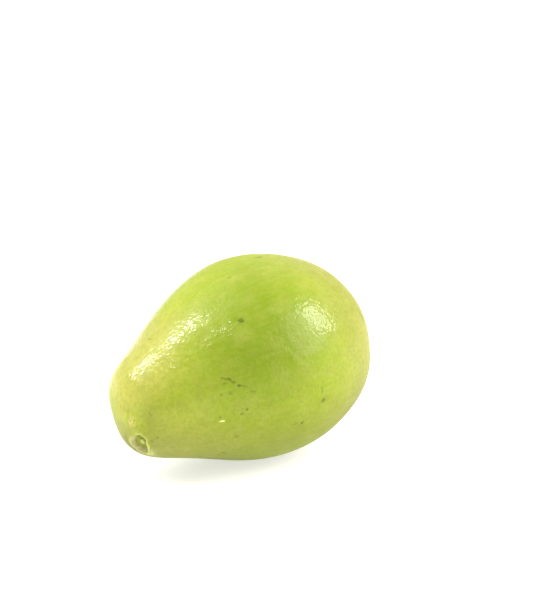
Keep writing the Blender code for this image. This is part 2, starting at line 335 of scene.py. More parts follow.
def plain_skin(across, turn):
    """The skin without its fine relief, its polar angles and turns on the body, and how far each place is
    from the middle of the stem scar, in mm and over the radius of its rim."""
    polar, about = slid_to_scar(across, turn)
    place = body_point(polar, about)
    for bump_polar, bump_turn, width, height in SWELLINGS:
        at = math.radians(bump_polar), math.radians(bump_turn)
        away = np.linalg.norm(place - body_point(*at), axis=-1)
        place = place + (height * bell(away, width))[..., None] * body_ways(*at)[2]

    scar_away = np.linalg.norm(place - body_point(SCAR_POLAR, SCAR_TURN), axis=-1)
    ripple = 1 + SCAR_RIPPLE * np.cos(SCAR_RIPPLES * turn)
    for pull_turn, spread, pull in SCAR_PULLS:
        ripple = ripple + pull * window(turn, pull_turn, spread)
    scar_share = scar_away / (SCAR_RIM_RADIUS * ripple)
    rim = SCAR_RIM_HEIGHT * ripple * bell(scar_away - SCAR_RIM_RADIUS * ripple, SCAR_RIM_WIDTH)
    hollow = SCAR_DEPTH * (1 - smooth_step(*SCAR_WALL, scar_share))
    boss = SCAR_BOSS_HEIGHT * (1 - smooth_step(*SCAR_BOSS_SLOPE, scar_away / SCAR_BOSS_RADIUS))
    place = place + (rim - hollow + boss)[..., None] * body_ways(SCAR_POLAR, SCAR_TURN)[2]

    away = np.hypot(place[..., 1], place[..., 2])
    ribs = RIB_HEIGHT * np.cos(RIB_COUNT * turn)
    ribs = ribs * smooth_step(0, BASIN_RADIUS, away) * bell(away, RIB_REACH)
    basin = BASIN_DEPTH * bell(away, BASIN_RADIUS)
    seat = SEAT_DEPTH * (1 - smooth_step(SEAT_RADIUS, SEAT_RADIUS + SEAT_EDGE, away))
    place[..., 0] += np.where(place[..., 0] > 0, ribs - basin - seat, 0)
    return place, polar, about, scar_away, scar_share


def tilted(places):
    """The places, or ways, once the fruit has tipped over on its side."""
    turned = np.array(Matrix.Rotation(-LYING_TILT, 3, "Y"))
    return places @ turned.T


# Skin mesh


def skin_grid():
    """Across and turn for each point of the skin, with the rings drawn together at both ends."""
    even = np.linspace(0, math.pi, RINGS + 1)[:, None]
    across = even - END_CROWDING[0] * np.sin(2 * even) - END_CROWDING[1] * np.sin(4 * even)
    turn = np.linspace(0, 2 * math.pi, AROUND, endpoint=False)[None, :]
    return np.broadcast_arrays(across, turn)


def lying_shift(places):
    """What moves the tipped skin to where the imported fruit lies."""
    low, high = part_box("fruit")
    middle = (places.reshape(-1, 3).min(0) + places.reshape(-1, 3).max(0)) / 2
    top = places[..., 2].max()
    return np.array(
        [
            (low.x + high.x) / 2 / MM - middle[0],
            (low.y + high.y) / 2 / MM - middle[1],
            high.z / MM - top,
        ]
    )


def skin_places():
    """The skin's grid: where each place lies on the fruit, and the noise its relief and colours share."""
    across, turn = skin_grid()
    places, polar, about, scar_away, scar_share = plain_skin(across, turn)
    axis_away = np.hypot(places[..., 1], places[..., 2])
    blossom_end = places[..., 0] > 0
    about_scar = np.stack([np.cos(turn), np.sin(turn), scar_away * FOLD_CHANGE], -1)
    about_calyx = np.stack([np.cos(turn), np.sin(turn), axis_away * PUCKER_CHANGE], -1)
    return SimpleNamespace(
        places=places,
        turn=turn,
        polar=polar,
        about=about,
        axis_away=axis_away,
        scar_away=scar_away,
        scar_share=scar_share,
        in_pit=1 - smooth_step(*PIT_EDGE, scar_share),
        on_seat=blossom_end * (1 - smooth_step(SEAT_RADIUS, SEAT_RADIUS + 1.5, axis_away)),
        near_seat=blossom_end * smooth_step(SEAT_RADIUS, SEAT_RADIUS + 1, axis_away),
        folds=lumps(about_scar * FOLD_FINENESS, 1, 21),
        crumbs=lumps(places, CRUMB_SIZE, 22),
        pucker=lumps(about_calyx * PUCKER_FINENESS, 1, 31),
        shift=lying_shift(tilted(places)),
    )


def reached(turn, reaches):
    """1 where a turn is in one of several windows, each given as a turn and its spread."""
    return np.max([window(turn, at, spread) for at, spread in reaches], axis=0)


def scar_arcs(arcs, skin):
    """Arcs about the stem scar, added up, each fading to its sides and its ends."""
    total = np.zeros(skin.turn.shape)
    for strength, ring, width, reaches in arcs:
        total += strength * reached(skin.turn, reaches) * bell(skin.scar_share - ring, width)
    return total


def skin_relief(skin):
    """How far each place of the skin stands out, in mm."""
    relief = np.zeros(skin.turn.shape)
    for number, (height, size) in enumerate(LUMPS):
        relief += height * lumps(skin.places, size, number + 1)
    relief *= smooth_step(*LUMPS_START, skin.scar_away)

    # The stem scar: fibres that dried unevenly, with the highest lip on the side towards the belly
    wall = skin.in_pit * smooth_step(*PIT_WALL, skin.scar_share)
    boss = 1 - smooth_step(*PIT_BOSS, skin.scar_share)
    relief += scar_arcs(RAISED_ARCS, skin)
    relief += wall * (FOLD_HEIGHT * skin.folds + CRUMB_HEIGHT * skin.crumbs)
    relief += boss * CRUMB_HEIGHT * skin.crumbs

    # The blossom end: puckers that run in to the calyx
    ring = bell(skin.axis_away - SEAT_RADIUS - PUCKER_PLACE, PUCKER_WIDTH)
    relief += skin.near_seat * ring * PUCKER_HEIGHT * skin.pucker
    return relief * (1 - skin.on_seat)


def scar_facts(skin):
    """How far each place is dry cork, painted highlight on the rim's ridge, painted shade in the groove
    inside it or the pit's floor.
    """
    cork = reached(skin.turn, CORK_SIDES) * smooth_step(*CORK_START, skin.scar_share)
    cork *= 1 - smooth_step(*CORK_END, skin.scar_share)
    cork = np.maximum(cork, scar_arcs((CORK_ARC,), skin))
    flaky = smooth_step(-0.5, 0.3, skin.folds + 0.6 * skin.crumbs)
    boss = 0.9 * bell(skin.scar_share, 0.24)
    return {
        "cork": cork * (0.72 + 0.28 * flaky),
        "lip_highlight": np.clip(scar_arcs(LIP_HIGHLIGHT_ARCS, skin) + boss, 0, 1),
        "crevice_shade": np.clip(scar_arcs(CREVICE_SHADE_ARCS, skin), 0, 1),
        "pit_floor": 0.3 * (1 - smooth_step(*PIT_FLOOR, skin.scar_share)),
    }


def rind_gloss(skin, degrees, height):
    """How much wax shines at each place: most on the upper flanks, least where it is worn or rubbed."""
    gloss = smooth_step(-0.35, 0.35, height) * smooth_step(*STEM_GLOSS, degrees) * (1 - skin.in_pit)
    gloss *= 1 - 0.75 * smooth_step(*BLOSSOM_GLOSS, degrees)
    gloss *= 1 - 0.8 * window(skin.about, *WORN_RIDGE) * smooth_step(*WORN_START, degrees)
    for polar, turn, width, strength in MATT_PATCHES:
        at = body_point(math.radians(polar), math.radians(turn))
        gloss *= 1 - strength * bell(np.linalg.norm(skin.places - at, axis=-1), width)
    return gloss


def rind_facts(skin):
    """How far each place has turned yellow or rusty, shows weathering at the blossom end, carries painted
    shade at the middle of the camera's side, underneath and on the top, and how much it shines.
    """
    degrees = np.degrees(skin.polar)
    height = np.sin(skin.about)
    upward = 0.5 + 0.5 * smooth_step(0.3, 0.9, height)
    pale = upward * (1 - smooth_step(*NECK_YELLOW, degrees)) + 0.95 * smooth_step(*BLOSSOM_YELLOW, degrees)
    pale += 0.30 * smooth_step(0.75, 1.0, height) + 0.30 * lumps(skin.places, 16, 41)
    # Painted shade: a deeper, darker tone at the middle of the side the camera sees, where the side lamps
    # reach least
    green = 1.1 * bell(degrees - SHADE_BAND[0], SHADE_BAND[1]) * window(skin.about, *SHADE_SIDE)

    # Painted shade under the fruit, darkest by the neck where it nears the sheet and least at the belly,
    # bluer as a painted reflection of the sheet; painted shade and sheen on the top
    shaded_underside = 0.8 + 0.3 * lumps(skin.places, 14, 42)
    shaded_underside += 0.4 * bell(degrees - 33, 14) - 0.22 * bell(degrees - 85, 28)
    shaded_underside *= 1 - smooth_step(-0.75, 0.15, height)
    # Painted shade and a grey painted sheen on the top, and weathering at the blossom end
    weathering_and_top_shade = smooth_step(0.80, 0.99, height) * smooth_step(*TOP_SHADE, degrees)
    weathering_and_top_shade += 0.85 * smooth_step(*BLOSSOM_WEATHERED, degrees)

    past_seat = skin.axis_away - SEAT_RADIUS + RUST_WANDER * skin.pucker
    rust = skin.near_seat * (1 - smooth_step(*RUST_FADE, past_seat))
    rust = np.maximum(rust, skin.on_seat * (skin.axis_away < SEAT_RADIUS + 0.6))

    # Noise read along this way is drawn out ten times along the fruit, as its fibres are
    spun = MIDDLE_RADIUS * np.sin(skin.polar)
    along = -HALF_LENGTH * np.cos(skin.polar) / 10
    return {
        "pale": np.clip(pale, 0, 1),
        "gloss": rind_gloss(skin, degrees, height),
        "green": np.clip(green, 0, 1),
        "shaded_underside": shaded_underside,
        "weathering_and_top_shade": np.clip(weathering_and_top_shade, 0, 1),
        "rust": rust,
        "grain_way": np.stack([spun * np.cos(skin.about), spun * np.sin(skin.about), along], -1),
    }


def closed_skin(places):
    """Points and faces of a grid that runs from one pole to the other and closes round its turn."""
    inner = places[1:-1].reshape(-1, 3)
    points = np.concatenate([places[:1, 0], inner, places[-1:, 0]])
    rings = places.shape[0] - 2
    at = 1 + np.arange(rings)[:, None] * AROUND + np.arange(AROUND)[None, :]
    beside = np.roll(at, -1, axis=1)
    quads = np.stack([at[:-1], beside[:-1], beside[1:], at[1:]], -1).reshape(-1, 4)
    first = np.stack([np.zeros(AROUND, int), beside[0], at[0]], -1)
    last = np.stack([np.full(AROUND, len(points) - 1), at[-1], beside[-1]], -1)
    return points, first.tolist() + quads.tolist() + last.tolist()


def at_points(values):
    """Grid values in the order of the skin's points."""
    return np.concatenate([values[:1, 0], values[1:-1].reshape(-1, *values.shape[2:]), values[-1:, 0]])


def grid_normals(places):
    """Outward normals of a skin grid."""
    down = np.gradient(places, axis=0)
    wrapped = np.concatenate([places[:, -1:], places, places[:, :1]], axis=1)
    side = np.gradient(wrapped, axis=1)[:, 1:-1]
    normals = np.cross(side, down)
    length = np.linalg.norm(normals, axis=-1, keepdims=True)
    return normals / np.maximum(length, 1e-9)


def new_piece(name, points, faces, finish, replaced, facts):
    """A smooth mesh piece, from points in metres, that rides on the fruit and holds its finish's facts."""
    mesh = bpy.data.meshes.new(name)
    mesh.from_pydata(np.asarray(points, float).tolist(), [], faces)
    mesh.validate()
    mesh.shade_smooth()
    for fact, values in facts.items():
        kind, field = ("FLOAT", "value") if values.ndim == 1 else ("FLOAT_VECTOR", "vector")
        held = mesh.attributes.new(fact, kind, "POINT")
        held.data.foreach_set(field, np.ascontiguousarray(values, np.float32).ravel())
    mesh.materials.append(finish)
    made = bpy.data.objects.new(name, mesh)
    bpy.context.scene.collection.objects.link(made)
    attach(made, "root")
    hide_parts(replaced)


def build_skin(skin, finish):
    laid = tilted(skin.places + skin_relief(skin)[..., None] * grid_normals(skin.places)) + skin.shift
    laid[..., 2] = np.maximum(laid[..., 2], 0)
    points, faces = closed_skin(laid * MM)
    facts = {name: at_points(values) for name, values in (rind_facts(skin) | scar_facts(skin)).items()}
    new_piece("guava_skin", points, faces, finish, "fruit", facts)


# Calyx


def sheet_solid(middle, thickness):
    """A closed thin solid about a grid of middle points, and whether each point is on its inner face."""
    rows, columns = middle.shape[:2]
    count = rows * columns
    normal = np.cross(np.gradient(middle, axis=1), np.gradient(middle, axis=0))
    normal /= np.linalg.norm(normal, axis=-1, keepdims=True)
    half = normal * (thickness / 2)[..., None]
    points = np.concatenate([(middle + half).reshape(-1, 3), (middle - half).reshape(-1, 3)])
    at = np.arange(count).reshape(rows, columns)
    front = np.stack([at[:-1, :-1], at[1:, :-1], at[1:, 1:], at[:-1, 1:]], -1).reshape(-1, 4)
    faces = front[:, ::-1].tolist() + (front + count).tolist()
    edge = [*at[0, :-1], *at[:-1, -1], *at[-1, :0:-1], *at[:0:-1, 0]]
    for one, two in zip(edge, edge[1:] + edge[:1]):
        faces.append([one, two, two + count, one + count])
    inner = np.concatenate([np.zeros(count), np.ones(count)])
    return points, faces, inner


def sepal_blade(number, curl):
    """One dried sepal rising from +X: middle points, thickness, and each one's share from root to tip and
    from its midrib to its sides."""
    share = np.linspace(0, 1, SEPAL_ROWS)[:, None]
    side = np.linspace(-1, 1, SEPAL_COLUMNS)[None, :]
    share, side = np.broadcast_arrays(share, side)
    from_rib = np.abs(side)
    flat = np.stack([share * 4, side * 3, np.full(share.shape, number * 3.7)], -1)
    ragged = 1 + SEPAL_RAGGEDNESS * lumps(flat * np.array([1.6, 0, 1]) + np.sign(side)[..., None], 1, 51)
    breadth = (SEPAL_ROOT_BREADTH + SEPAL_WIDENING * share - SEPAL_CLOSING * share**3) * ragged
    lean = SEPAL_SPREAD - curl * share / 2
    run = SEPAL_LENGTH * share * (1 + 0.05 * np.cos(side * 5 + number))
    wave = SEPAL_WAVE * lumps(flat, 1, 52) * share
    veins = sum(height * bell(from_rib - at, width) for at, height, width in SEPAL_VEINS)
    curled = SEPAL_EDGE_CURL * share * smooth_step(0.55, 1.0, from_rib) ** 2
    out = SEPAL_ROOT_RADIUS + run * np.sin(lean) - SEPAL_CUPPING * (side * breadth) ** 2
    out = out + wave + veins - curled
    up = SEPAL_ROOT_HEIGHT + run * np.cos(lean) - 0.35 * wave
    twist = SEPAL_TWIST * math.sin(number * 2.4) * share**2 * SEPAL_WIDTH
    over = side * breadth * SEPAL_WIDTH / 2 + twist
    thinned = (1 - SEPAL_TIP_THINNING * share) * (1 - SEPAL_SIDE_THINNING * from_rib**3)
    return np.stack([out, over, up], -1), SEPAL_THICKNESS * thinned, share, from_rib


def build_sepals(finish, placed):
    points, faces, facts = [], [], {"share": [], "side": [], "inner": []}
    start = 0
    for number, curl in enumerate(SEPAL_CURLS):
        middle, thickness, share, from_rib = sepal_blade(number, curl)
        blade, blade_faces, inner = sheet_solid(middle, thickness)
        about = np.array(Matrix.Rotation(2 * math.pi * number / len(SEPAL_CURLS), 3, "Z"))
        points.append(blade @ about.T)
        faces += [[corner + start for corner in face] for face in blade_faces]
        start += len(blade)
        facts["share"].append(np.tile(share.ravel(), 2))
        facts["side"].append(np.tile(from_rib.ravel(), 2))
        facts["inner"].append(inner)
    facts = {name: np.concatenate(values) for name, values in facts.items()}
    new_piece("calyx_sepals", placed(np.concatenate(points)), faces, finish, "calyx", facts)


def tube_faces(at):
    """Faces of a tube whose rings hold these point numbers, with both its ends closed."""
    beside = np.roll(at, -1, axis=1)
    faces = np.stack([at[:-1], beside[:-1], beside[1:], at[1:]], -1).reshape(-1, 4).tolist()
    return faces + [at[0, ::-1].tolist(), at[-1].tolist()]


def build_cup(finish, placed):
    """The low cup that carries the sepals: ribbed outside, with a wrinkled disc inside it."""
    knots = np.array(CUP_PROFILE)
    steps = np.linspace(0, len(knots) - 1, CUP_STEPS * (len(knots) - 1) + 1)
    radius = np.interp(steps, np.arange(len(knots)), knots[:, 0])[:, None]
    height = np.interp(steps, np.arange(len(knots)), knots[:, 1])[:, None]
    turn = np.linspace(0, 2 * math.pi, CUP_SIDES, endpoint=False)[None, :]
    radius, height, turn = np.broadcast_arrays(radius, height, turn)
    ring = np.stack([np.cos(turn), np.sin(turn), height * 0.25], -1)
    wrinkles = lumps(ring * 4.5, 1, 61)
    crumbs = lumps(np.stack([radius * np.cos(turn), radius * np.sin(turn), height], -1), 0.45, 62)
    free = smooth_step(0.1, 0.5, height)
    outside = smooth_step(*CUP_OUTSIDE, radius)
    ribs = CUP_RIB_HEIGHT * np.cos(CUP_RIBS * turn)
    radius = radius + free * outside * (ribs + CUP_PUSHED_OUT * wrinkles)
    radius = radius * (1 + CUP_PUSHED_OUT * free * (1 - outside) * crumbs)
    height = height + free * (CUP_WRINKLES_UP * wrinkles + CUP_CRUMBS_UP * crumbs)
    places = np.stack([radius * np.cos(turn), radius * np.sin(turn), height], -1)
    faces = tube_faces(np.arange(radius.size).reshape(radius.shape))
    # Painted shade: the cup is darker inside, carried by the facts the sepals use for tip, rim and inner
    # face
    shade = np.clip(1 - outside + 0.3 * wrinkles, 0, 1).ravel()
    facts = {"share": 0.3 * shade, "side": shade, "inner": shade}
    new_piece("calyx_cup", placed(places.reshape(-1, 3)), faces, finish, "calyx", facts)


def build_stamens(finish, placed):
    """Dried threads left of the flower, tangled inside the calyx, each with a shrunken head."""
    draw = np.random.default_rng(STAMEN_SEED)
    turn = np.linspace(0, 2 * math.pi, STAMEN_SIDES, endpoint=False)
    share = np.linspace(0, 1, STAMEN_STEPS)
    thick = STAMEN_RADIUS - STAMEN_THINNING * share + HEAD_SWELL * bell(share - HEAD_PLACE, HEAD_WIDTH)
    thick[-1] = STAMEN_TIP
    points, faces = [], []
    for number in range(STAMEN_COUNT):
        root_turn = 2 * math.pi * (number + draw.uniform(-0.35, 0.35)) / STAMEN_COUNT
        root_radius = draw.uniform(*STAMEN_ROOT_RADIUS)
        length = draw.uniform(*STAMEN_LENGTH)
        fall = draw.uniform(*STAMEN_FALL)
        swerve = draw.uniform(-STAMEN_SWERVE, STAMEN_SWERVE)
        lean = STAMEN_ROOT_LEAN + fall * share
        reach = np.cumsum(np.sin(lean)) * length / STAMEN_STEPS
        rise = np.cumsum(np.cos(lean)) * length / STAMEN_STEPS
        thread_turn = root_turn + swerve * share**2
        radius = root_radius - reach
        height = STAMEN_ROOT_HEIGHT + rise
        line = np.stack([radius * np.cos(thread_turn), radius * np.sin(thread_turn), height], -1)
        ahead = np.gradient(line, axis=0)
        ahead /= np.linalg.norm(ahead, axis=-1, keepdims=True)
        aside = np.cross(ahead, np.array([0.3, 0.2, 0.93]))
        aside /= np.linalg.norm(aside, axis=-1, keepdims=True)
        third = np.cross(ahead, aside)
        ring = aside[:, None] * np.cos(turn)[None, :, None] + third[:, None] * np.sin(turn)[None, :, None]
        tube = line[:, None] + ring * thick[:, None, None]
        at = np.arange(STAMEN_STEPS * STAMEN_SIDES).reshape(STAMEN_STEPS, STAMEN_SIDES)
        faces += tube_faces(number * at.size + at)
        points.append(tube.reshape(-1, 3))
    facts = {"share": np.tile(np.repeat(share, STAMEN_SIDES), STAMEN_COUNT)}
    new_piece("dried_stamens", placed(np.concatenate(points)), faces, finish, "calyx", facts)


def build_calyx(sepal_finish, thread_finish, shift):
    """The dried calyx in its seat: its pieces rise from their own +Z, which turns to the fruit's axis."""
    on_seat = Matrix.Translation((HALF_LENGTH - BASIN_DEPTH - SEAT_DEPTH + CLEARANCE, 0, 0))
    on_seat = np.array(on_seat @ Matrix.Rotation(math.pi / 2, 4, "Y"))

    def placed(points):
        return (tilted(points @ on_seat[:3, :3].T + on_seat[:3, 3]) + shift) * MM

    build_sepals(sepal_finish, placed)
    build_cup(sepal_finish, placed)
    build_stamens(thread_finish, placed)


# Finishes


def add_node(tree, kind, inputs=None, **settings):
    """Adds one node: settings are its own fields, and each input gets a value or another node's output."""
    made = tree.nodes.new(kind)
    for name, value in settings.items():
        setattr(made, name, value)
    for socket, value in (inputs or {}).items():
        if isinstance(value, bpy.types.NodeSocket):
            tree.links.new(value, made.inputs[socket])
        else:
            made.inputs[socket].default_value = value
    return made


def new_finish(name, **fixed):
    """An empty Principled material, its node tree and shader, with the sockets that don't vary set."""
    made = bpy.data.materials.new(name)
    made.use_nodes = True
    shader = made.node_tree.nodes["Principled BSDF"]
    for socket, value in fixed.items():
        shader.inputs[socket.replace("_", " ")].default_value = value
    return made, made.node_tree, shader


def place_in_mm(tree):
    """Where a point of the surface is, in mm."""
    position = add_node(tree, "ShaderNodeTexCoord").outputs["Object"]
    inputs = {0: position, "Scale": 1 / MM}
    return add_node(tree, "ShaderNodeVectorMath", inputs, operation="SCALE").outputs[0]


def cloud(tree, place, size, low, high, detail):
    """Soft patches of one size in mm, from 0 to 1 between two thresholds of their noise."""
    inputs = {"Vector": place, "Scale": 1 / size, "Detail": detail}
    made = add_node(tree, "ShaderNodeTexNoise", inputs).outputs[0]
    inputs = {"Value": made, "From Min": low, "From Max": high}
    return add_node(tree, "ShaderNodeMapRange", inputs, interpolation_type="SMOOTHSTEP").outputs[0]


def painted(tree, colour, *layers):
    """A colour with layers laid over it in order: each is where it lies, how strongly, and its colour."""
    for share, strength, over in layers:
        inputs = {0: share, 1: strength}
        laid = add_node(tree, "ShaderNodeMath", inputs, operation="MULTIPLY").outputs[0]
        inputs = {0: laid, 6: colour, 7: linear(over) if isinstance(over, str) else over}
        colour = add_node(tree, "ShaderNodeMix", inputs, data_type="RGBA").outputs[2]
    return colour


def pebbled(tree, *reliefs):
    """A bumped normal from reliefs that lie on each other, each a height field and its height in mm."""
    inputs = {"Strength": 1.0}
    for field, height in reliefs:
        inputs |= {"Height": field, "Distance": height * MM}
        inputs["Normal"] = add_node(tree, "ShaderNodeBump", inputs).outputs[0]
    return inputs["Normal"]


def mark_frame(polar, turn, slant, shift):
    """Where a mark lies on the skin, in mm, and the turn that takes X along it and Z outward."""
    polar, turn = math.radians(polar), math.radians(turn)
    along, around, normal = (Vector(tilted(way)) for way in body_ways(polar, turn))
    slanted = along * math.cos(math.radians(slant)) + around * math.sin(math.radians(slant))
    slanted = (slanted - normal * slanted.dot(normal)).normalized()
    turned = Matrix((slanted, normal.cross(slanted), normal)).transposed()
    return tilted(body_point(polar, turn)) + shift, turned.to_euler()


def marks_mask(tree, place, marks, shift):
    """How strongly any of the marks shows at a place: each is a soft-edged oval."""
    total = 0.0
    for polar, turn, half_length, half_width, slant, strength in marks:
        centre, turned = mark_frame(polar, turn, slant, shift)
        inputs = {0: place, 1: centre, 2: turned, 3: (half_length, half_width, MARK_DEPTH)}
        inside = add_node(tree, "ShaderNodeMapping", inputs, vector_type="TEXTURE").outputs[0]
        away = add_node(tree, "ShaderNodeVectorMath", {0: inside}, operation="LENGTH").outputs["Value"]
        inputs = {"Value": away, "From Min": MARK_FADE[0], "From Max": MARK_FADE[1], "To Max": strength}
        mask = add_node(tree, "ShaderNodeMapRange", inputs, interpolation_type="SMOOTHSTEP").outputs[0]
        total = add_node(tree, "ShaderNodeMath", {0: mask, 1: total}, operation="MAXIMUM").outputs[0]
    return total


def far_marks():
    """Small marks on the side that the picture doesn't show."""
    draw = np.random.default_rng(FAR_MARK_SEED)
    return tuple(tuple(draw.uniform(*ends) for ends in FAR_MARK_RANGES) for _ in range(FAR_MARK_COUNT))


def pin_pricks(tree, place, spacing, outer, inner):
    """Round dots at one spacing in mm, which fade between two radii given over it, and their cells."""
    inputs = {"Vector": place, "Scale": 1 / spacing, "Randomness": 1.0}
    cells = add_node(tree, "ShaderNodeTexVoronoi", inputs, feature="F1")
    inputs = {"Value": cells.outputs["Distance"], "From Min": outer, "From Max": inner}
    dots = add_node(tree, "ShaderNodeMapRange", inputs, interpolation_type="SMOOTHSTEP").outputs[0]
    return dots, cells.outputs["Color"]


def guava_skin_finish(shift):
    """Guava rind: a thin waxy cuticle over green flesh, which gives a soft sheen that pebbles break up."""
    finish, tree, shader = new_finish(
        "guava_rind",
        Metallic=0.0,
        IOR=1.45,
        Specular_IOR_Level=0.21,
        Coat_Roughness=0.11,
        Coat_IOR=1.40,
        Subsurface_Weight=0.12,
        Subsurface_Radius=(1.0, 0.9, 0.3),
        Subsurface_Scale=0.002,
    )
    place = place_in_mm(tree)
    fact = {}
    for name in RIND_FACTS + SCAR_FACTS:
        fact[name] = add_node(tree, "ShaderNodeAttribute", attribute_name=name).outputs["Fac"]

    # Green rind in two shades, yellower towards both ends, with a thin bloom of wax in patches
    rind = painted(
        tree,
        linear("#94A714"),
        (cloud(tree, place, 15, 0.30, 0.72, detail=2.0), 1, "#9BAC24"),
        (fact["pale"], 1, "#A9A747"),
        # Painted shade: deeper and darker at the middle of the camera's side
        (fact["green"], 1, "#738907"),
        # Painted shade underneath, bluer as the sheet's painted reflection
        (fact["shaded_underside"], 1, "#8F9241"),
        # Painted shade and sheen on the top, and weathering at the blossom end
        (fact["weathering_and_top_shade"], 0.16, "#5D624B"),
        (cloud(tree, place, 6.5, 0.40, 0.80, detail=2.0), 0.24, "#B0B15C"),
    )

    # Fibres under the skin show as faint lines that run from the stem to the blossom end, and the flesh as
    # a mottle; pores are pale pin-pricks 0.5 mm wide, and a few wider cells carry a small brown-green fleck
    grain_way = add_node(tree, "ShaderNodeAttribute", attribute_name="grain_way").outputs["Vector"]
    pores, _ = pin_pricks(tree, place, PORE_SPACING, 0.13, 0.05)
    flecks, cells = pin_pricks(tree, place, FLECK_SPACING, 0.055, 0.02)
    chosen = add_node(tree, "ShaderNodeSeparateColor", {0: cells}).outputs[0]
    chosen = add_node(tree, "ShaderNodeMath", {0: chosen, 1: 0.6}, operation="GREATER_THAN").outputs[0]
    flecks = add_node(tree, "ShaderNodeMath", {0: flecks, 1: chosen}, operation="MULTIPLY").outputs[0]
    rind = painted(
        tree,
        rind,
        (cloud(tree, grain_way, 1.5, 0.35, 0.70, detail=3.0), 0.07, "#BABE77"),
        (cloud(tree, place, 1.2, 0.38, 0.70, detail=3.0), 0.32, "#708A1C"),
        (cloud(tree, place, 4.0, 0.42, 0.72, detail=3.0), 0.34, "#868F2C"),
        (pores, 0.08, "#BDC183"),
        (flecks, 0.55, "#6E7A2C"),
    )

    # Named marks, with edges that wander by 0.3 mm
    inputs = {"Vector": place, "Scale": 1 / WANDER_SIZE, "Detail": 2.0}
    wander = add_node(tree, "ShaderNodeTexNoise", inputs).outputs[1]
    inputs = {0: wander, 1: (0.5,) * 3}
    wander = add_node(tree, "ShaderNodeVectorMath", inputs, operation="SUBTRACT").outputs[0]
    inputs = {0: wander, "Scale": WANDER}
    wander = add_node(tree, "ShaderNodeVectorMath", inputs, operation="SCALE").outputs[0]
    loose = add_node(tree, "ShaderNodeVectorMath", {0: place, 1: wander}, operation="ADD").outputs[0]
    dry = marks_mask(tree, loose, DRY_PATCHES, shift)
    cracks = cloud(tree, place, 0.55, 0.38, 0.62, detail=2.0)
    rind = painted(
        tree,
        rind,
        (marks_mask(tree, loose, SPOTS + far_marks(), shift), 1, "#4C5A0C"),
        (marks_mask(tree, loose, SCUFFS, shift), 1, "#565A14"),
        (dry, 1, painted(tree, linear("#A69B45"), (cracks, 1, "#D2CB80"))),
        # A painted highlight: the glint
        (marks_mask(tree, loose, GLINTS, shift), 1, "#E9ECA0"),
    )

    # The stem scar, with a painted highlight along its rim's ridge and painted shade in the groove inside
    # the rim and along the edge below it, and the rusty ring about the calyx
    rind = painted(
        tree,
        rind,
        (fact["pit_floor"], 1, "#7E8A2E"),
        (fact["cork"], 0.85, painted(tree, linear("#B4AF76"), (cracks, 1, "#CFCB98"))),
        # Painted shade in the groove inside the rim and below the scar
        (fact["crevice_shade"], 1, "#626416"),
        # A painted highlight along the rim's ridge and on the boss
        (fact["lip_highlight"], 0.7, "#D2D67E"),
        (fact["rust"], 1, painted(tree, linear("#6F5A2C"), (cracks, 1, "#A99A55"))),
    )
    tree.links.new(rind, shader.inputs["Base Color"])

    # Waxed rind is smooth, bare rind less so, and cork and rust are matt
    corky = add_node(tree, "ShaderNodeMath", {0: fact["cork"], 1: dry}, operation="MAXIMUM").outputs[0]
    corky = add_node(tree, "ShaderNodeMath", {0: corky, 1: fact["rust"]}, operation="MAXIMUM").outputs[0]
    uneven = cloud(tree, place, 3.5, 0.3, 0.7, detail=2.0)
    inputs = {"Value": uneven, "To Min": WAXED_ROUGHNESS[0], "To Max": WAXED_ROUGHNESS[1]}
    waxed = add_node(tree, "ShaderNodeMapRange", inputs).outputs[0]
    inputs = {0: fact["gloss"], 2: BARE_ROUGHNESS, 3: waxed}
    rough = add_node(tree, "ShaderNodeMix", inputs, data_type="FLOAT").outputs[0]
    inputs = {0: corky, 2: rough, 3: CORK_ROUGHNESS}
    rough = add_node(tree, "ShaderNodeMix", inputs, data_type="FLOAT").outputs[0]
    tree.links.new(rough, shader.inputs["Roughness"])
    inputs = {0: fact["gloss"], 1: WAX_WEIGHT}
    wax = add_node(tree, "ShaderNodeMath", inputs, operation="MULTIPLY").outputs[0]
    tree.links.new(wax, shader.inputs["Coat Weight"])

    # Pebbles of the rind, and a finer grain on them
    inputs = {"Vector": place, "Scale": 1 / PEBBLE_SIZE, "Detail": 0.0}
    pebbles = add_node(tree, "ShaderNodeTexNoise", inputs).outputs[0]
    inputs = {"Vector": place, "Scale": 1 / GRAIN_SIZE, "Detail": 0.0}
    grain = add_node(tree, "ShaderNodeTexNoise", inputs).outputs[0]
    bump = pebbled(tree, (pebbles, PEBBLE_HEIGHT), (grain, GRAIN_HEIGHT))
    tree.links.new(bump, shader.inputs["Normal"])
    tree.links.new(bump, shader.inputs["Coat Normal"])
    return finish


